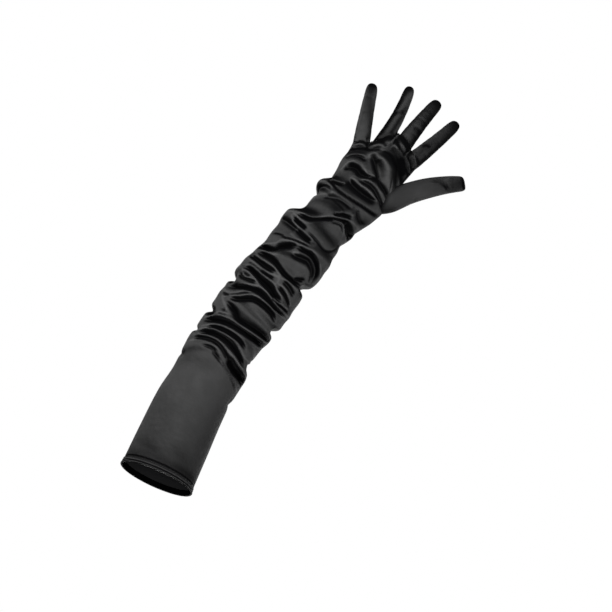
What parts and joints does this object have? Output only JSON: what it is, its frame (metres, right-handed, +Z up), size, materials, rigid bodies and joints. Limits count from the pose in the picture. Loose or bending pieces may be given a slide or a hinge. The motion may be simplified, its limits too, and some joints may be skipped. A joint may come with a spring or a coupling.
{
  "type": "long evening glove",
  "caption": "Long satin evening glove in its worn form: smooth cuff with a turned hem, gathered forearm, hand with slim fingers, gussets and a set-in thumb.",
  "frame": {"origin": "centre of the arm opening, on the plane of the hem", "axes": "+Z up the arm from the hem to the fingers, +X towards the thumb side, -Y out of the back of the hand"},
  "size_m": [0.1547, 0.0754, 0.531],
  "materials": {
    "satin": "black stretch satin with a soft sheen",
    "hem_satin": "black satin, turned and stitched"
  },
  "bodies": {
    "root": {"glove_body": "satin", "thumb": "satin", "gusset_little_ring": "satin", "gusset_ring_middle": "satin", "gusset_middle_index": "satin", "hem_band": "hem_satin"}
  },
  "joints": []
}
